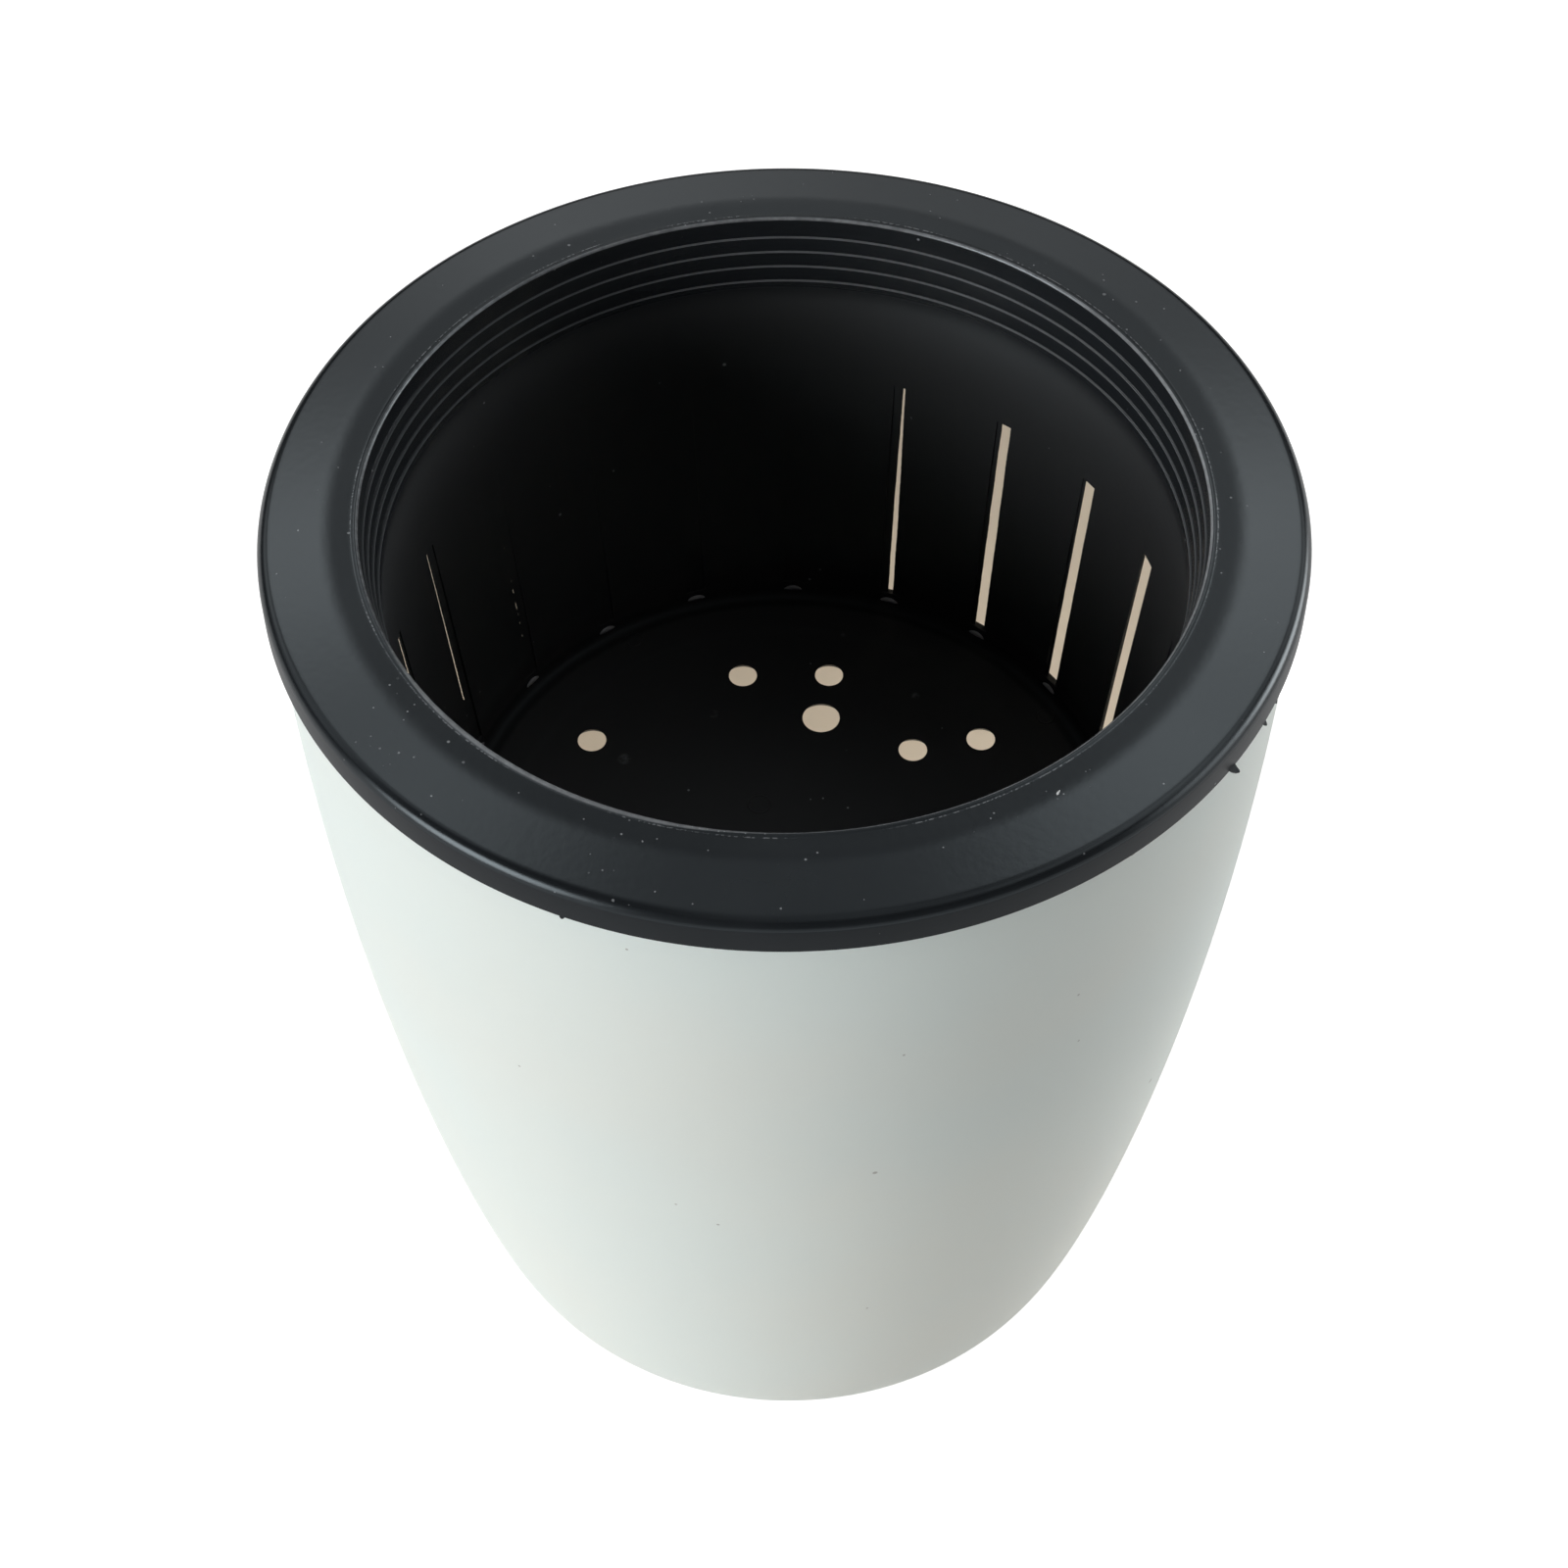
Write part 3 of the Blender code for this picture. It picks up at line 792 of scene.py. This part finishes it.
# Each slot's opening: from and to, in degrees from its middle, how much narrower its head is,
# and the share of its height at which it begins
slotOpenings = {
    0: None, 1: (-0.40, 0.50, 0.55, 0), 2: (-0.90, 1.00, 0.05, 0), 3: (-1.20, 1.10, 0.0, 0), 4: (-1.9, 1.7, 0.0, 0),
    -1: None, -2: None, -3: None, -4: (-0.60, -0.15, 0.3, 0.24), -5: (0.10, 1.00, 0.2, 0.1),
}


def slotKind(number):
    return (number + 5) % 10 - 5


def openingEdge(film, size, number, share, side):
    # Where the film's edge lies across the slot, at a share of the slot's height
    opening = slotOpenings[slotKind(number)]
    wave = noise.noise(Vector((share * film["waveScale"], number * 3.7, 0.0)))
    fine = noise.noise(Vector((share * film["fineScale"], number * 1.3, side * 2.9)))
    if opening is None:
        # Closed: the two films meet, but for a row of dots in one slot
        dot = 0.0
        low, high = film["dottedPart"]
        if slotKind(number) == film["dotted"] and low < share < high:
            grainHere = noise.noise(Vector((share * film["dotScale"], 1.7, 0.4)))
            dot = film["dotSize"] * smoothStep(*film["dotFade"], grainHere)
        return wave * film["wander"] + side * (dot / 2 - film["overlap"])
    start, end, narrow, foot = opening
    if share < foot:
        return wave * film["wander"] - side * film["overlap"]
    middle = (start + end) / 2
    half = (end - start) / 2 * (1 - narrow * smoothStep(*film["headFade"], share))
    ragged = (wave * film["waveShare"] + fine * film["fineShare"]) * film["ragged"]
    return math.radians(middle + side * half) * size["floorRadius"] + ragged


def addStrip(bm, rows):
    # A ribbon through pairs of points
    last = None
    for pair in rows:
        verts = [bm.verts.new(spot) for spot in pair]
        if last:
            bm.faces.new((last[0], last[1], verts[1], verts[0]))
        last = verts


def slotFrame(slot, number):
    return Matrix.Rotation(-math.radians(slot["turn"] + number * 360 / slot["count"]), 4, "Z")


def wallDepth(size, height):
    return size["floorRadius"] + size["slope"] * (height - size["floorHeight"])


def addFilm(bm, film, slot, size, number, side):
    recess = film["closedRecess"] if slotOpenings[slotKind(number)] is None else film["recess"]
    height = size["slotHead"] - size["slotFoot"] + film["footLap"] + film["headLap"]
    rows = []
    for row in range(film["rows"] + 1):
        share = row / film["rows"]
        z = size["slotFoot"] - film["footLap"] + share * height
        near = openingEdge(film, size, number, share, side)
        far = side * film["reach"]
        if (far - near) * side < film["least"]:
            near = far - side * film["least"]
        depth = wallDepth(size, z) + recess
        rows.append([slotFrame(slot, number) @ Vector((across, depth, z)) for across in (far, near)])
    addStrip(bm, rows)


def buildFilms(film, slot, size, material):
    bm = bmesh.new()
    for number in range(slot["count"]):
        for side in (-1, 1):
            addFilm(bm, film, slot, size, number, side)
    bmesh.ops.recalc_face_normals(bm, faces=bm.faces)
    bmesh.ops.solidify(bm, geom=bm.faces[:], thickness=film["thickness"])
    finishPiece("slotFilms", bm, material, "basket")


buildFilms(filmShape, slotShape, sizes, black)
print("slot films made")


# Pale strips on the closed slots: painted glints along the films' edges

glintShape = dict(
    width=0.14 * mm, thickness=0.04 * mm, rows=40, raggedScale=80.0, leastWidth=0.05, middleWidth=0.45,
    raggedWidth=0.9, sway=0.08 * mm, swayScale=20.0,
)
# Slot, shift to the side, and from and to as shares of the slot's height
glints = [
    (0, 0.12, 0.42, 0.72), (0, 0.42, 0.50, 0.68), (-1, 0.05, 0.44, 0.74), (-2, 0.1, 0.30, 0.38),
    (9, 0.1, 0.35, 0.7),
]


def buildSlotGlints(glint, marks, film, slot, size, material):
    bm = bmesh.new()
    for number, shift, start, end in marks:
        rows = []
        for row in range(glint["rows"] + 1):
            share = start + (end - start) * row / glint["rows"]
            z = size["slotFoot"] + share * (size["slotHead"] - size["slotFoot"])
            depth = wallDepth(size, z) + film["closedRecess"] - glint["thickness"]
            ragged = noise.noise(Vector((share * glint["raggedScale"], number * 5.3, shift)))
            wide = max(glint["leastWidth"], glint["middleWidth"] + glint["raggedWidth"] * ragged)
            half = glint["width"] * wide / 2
            sway = glint["sway"] * noise.noise(Vector((share * glint["swayScale"], number, 7.7)))
            edges = [shift * mm + sway + side * half for side in (-1, 1)]
            rows.append([slotFrame(slot, number) @ Vector((across, depth, z)) for across in edges])
        addStrip(bm, rows)
    bmesh.ops.recalc_face_normals(bm, faces=bm.faces)
    bmesh.ops.solidify(bm, geom=bm.faces[:], thickness=glint["thickness"])
    finishPiece("slotGlints", bm, material, "basket")


buildSlotGlints(glintShape, glints, filmShape, slotShape, sizes, paintedHighlight)
print("scuffs made")


# Scoops in the wall under each slot's foot, pale as a painted highlight

footShape = dict(
    length=2.1 * mm, rise=1.75 * mm, width=0.55 * mm, depth=0.40 * mm, inset=0.18 * mm, bend=0.5 * mm,
    tipWidth=0.35, rings=28, sides=16,
)


def buildFeet(foot, slot, size, material):
    bm = bmesh.new()
    radius = size["floorRadius"] - foot["inset"]
    for number in range(slot["count"]):
        matrix = slotFrame(slot, number) @ Matrix.Translation((0.0, radius, size["floorHeight"] + foot["rise"]))
        made = bmesh.ops.create_uvsphere(bm, u_segments=foot["rings"], v_segments=foot["sides"], radius=1.0)
        for vert in made["verts"]:
            along, across, up = vert.co
            thin = foot["tipWidth"] + (1 - foot["tipWidth"]) * math.sqrt(max(0.0, 1 - along * along))
            bend = foot["bend"] * along * along
            spot = Vector((along * foot["length"], across * foot["depth"] * thin, up * foot["width"] * thin - bend))
            vert.co = matrix @ spot
    bmesh.ops.recalc_face_normals(bm, faces=bm.faces)
    finishPiece("slotFeet", bm, material, "basket", softAngle)


buildFeet(footShape, slotShape, sizes, paintedHighlight)
print("slot feet made")


# Ragged flash along the foot of the rim's skirt, and the burr that hangs from it

flashShape = dict(
    inset=0.35 * mm, lap=0.5 * mm, foot=0.1 * mm, thickness=0.22 * mm, steps=1200, ragged=0.8 * mm,
    # From and to in degrees, and how strong; then how each stretch begins, and its level and its two noises
    stretches=[(92, 150, 1.0), (192, 238, 0.45), (20, 60, 0.5), (285, 330, 0.4)],
    rampAngle=8, level=0.25, coarseScale=9.0, coarseShare=0.9, fineScale=60.0, fineShare=0.7,
)
# Torn tabs of the flash: degrees from the back, width, height, lean outwards, and how far it curls
tabs = [
    (126.6, 1.8, 1.0, 1.3, -0.7), (119.2, 0.9, 0.8, 0.5, -0.3), (115.9, 0.8, 0.6, 0.25, -0.2),
    (203.0, 1.1, 0.5, 0.1, 0.1),
]
tabShape = dict(
    thickness=0.28 * mm, rows=10, inset=0.12 * mm, lap=0.9 * mm, narrowing=0.35, leastHalf=0.08 * mm, rise=0.25,
)


def flashHeight(flash, degrees):
    level = 0.0
    ramp = flash["rampAngle"]
    for start, end, strength in flash["stretches"]:
        within = smoothStep(start, start + ramp, degrees) * smoothStep(end, end - ramp, degrees)
        level = max(level, strength * within)
    around = polar(1.0, degrees, 0.0)
    coarse = noise.noise(around * flash["coarseScale"]) * flash["coarseShare"]
    fine = noise.noise(around * flash["fineScale"]) * flash["fineShare"]
    return flash["ragged"] * level * max(0.0, flash["level"] + coarse + fine)


def buildFlash(flash, shape, size, material):
    bm = bmesh.new()
    radius = shape["rimRadius"] - flash["inset"]
    top = bm.verts.new((0.0, radius, size["skirtFoot"] + flash["lap"]))
    foot = bm.verts.new((0.0, radius, size["skirtFoot"] + flash["foot"]))
    edge = bm.edges.new((top, foot))
    bmesh.ops.spin(
        bm, geom=[top, foot, edge], cent=(0, 0, 0), axis=(0, 0, 1), angle=math.tau, steps=flash["steps"],
        use_merge=True,
    )
    for vert in bm.verts:
        if vert.co.z < size["skirtFoot"] + 2 * flash["foot"]:
            degrees = math.degrees(math.atan2(vert.co.x, vert.co.y)) % 360
            vert.co.z -= flashHeight(flash, degrees)
    bmesh.ops.recalc_face_normals(bm, faces=bm.faces)
    bmesh.ops.solidify(bm, geom=bm.faces[:], thickness=flash["thickness"])
    finishPiece("skirtFlash", bm, material, "basket")


def buildTabs(tab, marks, shape, size, material):
    bm = bmesh.new()
    for degrees, width, height, lean, curl in marks:
        turn = Matrix.Rotation(-math.radians(degrees), 4, "Z")
        rows = []
        for row in range(tab["rows"] + 1):
            share = row / tab["rows"]
            half = width * mm / 2 * (1 - share**3) ** 0.5 * (1 - tab["narrowing"] * share) + tab["leastHalf"]
            middle = curl * mm * share * share
            out = shape["rimRadius"] - tab["inset"] + lean * mm * share ** 1.5
            z = size["skirtFoot"] + tab["lap"] - (tab["lap"] + height * mm) * share
            z += tab["rise"] * lean * mm * share
            rows.append([turn @ Vector((middle + side * half, out, z)) for side in (-1, 1)])
        addStrip(bm, rows)
    bmesh.ops.recalc_face_normals(bm, faces=bm.faces)
    bmesh.ops.solidify(bm, geom=bm.faces[:], thickness=tab["thickness"])
    bmesh.ops.recalc_face_normals(bm, faces=bm.faces)
    finishPiece("flashTabs", bm, material, "basket")


buildFlash(flashShape, basketShape, sizes, black)
buildTabs(tabShape, tabs, basketShape, sizes, black)
print("flash and torn tabs made")


# A bright flake that a knock raised on the rim

flake = dict(
    degrees=146.5, radius=77.95 * mm, length=1.15 * mm, width=0.5 * mm, rise=0.22 * mm, lift=0.05 * mm,
    turn=62, lean=14, middleWidth=0.6, narrowing=0.4, ragged=0.25, raggedScale=3.1,
)


def buildFlake(flake, shape, size, material):
    bm = bmesh.new()
    bmesh.ops.create_icosphere(bm, subdivisions=3, radius=0.5)
    half = [flake[name] / 2 for name in ("length", "width", "rise")]
    for vert in bm.verts:
        along, across, up = vert.co * 2
        ragged = flake["ragged"] * noise.noise(vert.co * flake["raggedScale"])
        narrow = flake["middleWidth"] - flake["narrowing"] * along + ragged
        vert.co = Vector((along * half[0], across * narrow * half[1], up * half[2]))
    height = shape["crown"] - shape["beadDrop"] - rimDrop(shape, size, flake["radius"]) + flake["lift"]
    turn = Matrix.Rotation(math.radians(flake["turn"]), 4, "Z")
    lean = Matrix.Rotation(math.radians(flake["lean"]), 4, "X")
    spot = Matrix.Translation(polar(flake["radius"], flake["degrees"], height))
    bmesh.ops.transform(bm, matrix=spot @ turn @ lean, verts=bm.verts)
    finishPiece("rimFlake", bm, material, "basket", softAngle)


buildFlake(flake, basketShape, sizes, bright)
print("flake made")


# Round marks that the mould's ejector pins left on the basket's floor

pinShape = dict(ridge=0.22 * mm, sunk=0.10 * mm, ridgeSteps=10, turnSteps=40)
# Degrees from the back, radius, and the ring's own radius
pinMarks = [
    (-30.9, 59.7, 1.7), (-32.6, 9.6, 2.2), (149.1, 59.7, 1.7), (147.4, 9.6, 2.2), (60.0, 59.7, 1.7),
    (240.0, 59.7, 1.7),
]


def buildPinMarks(pin, marks, shape, size, material):
    bm = bmesh.new()
    for degrees, radius, ring in marks:
        onLedge = radius * mm > size["ledgeRadius"]
        height = size["floorHeight"] - (0.0 if onLedge else shape["floorDrop"])
        section = arcPoints((ring * mm, -pin["sunk"]), pin["ridge"], 0, 360, pin["ridgeSteps"])
        made = spinProfile(section, pin["turnSteps"])
        bmesh.ops.translate(made, verts=made.verts, vec=polar(radius * mm, degrees, height))
        mesh = bpy.data.meshes.new("pinMark")
        made.to_mesh(mesh)
        made.free()
        bm.from_mesh(mesh)
        bpy.data.meshes.remove(mesh)
    finishPiece("pinMarks", bm, material, "basket", softAngle)


buildPinMarks(pinShape, pinMarks, basketShape, sizes, black)
print("pin marks made")
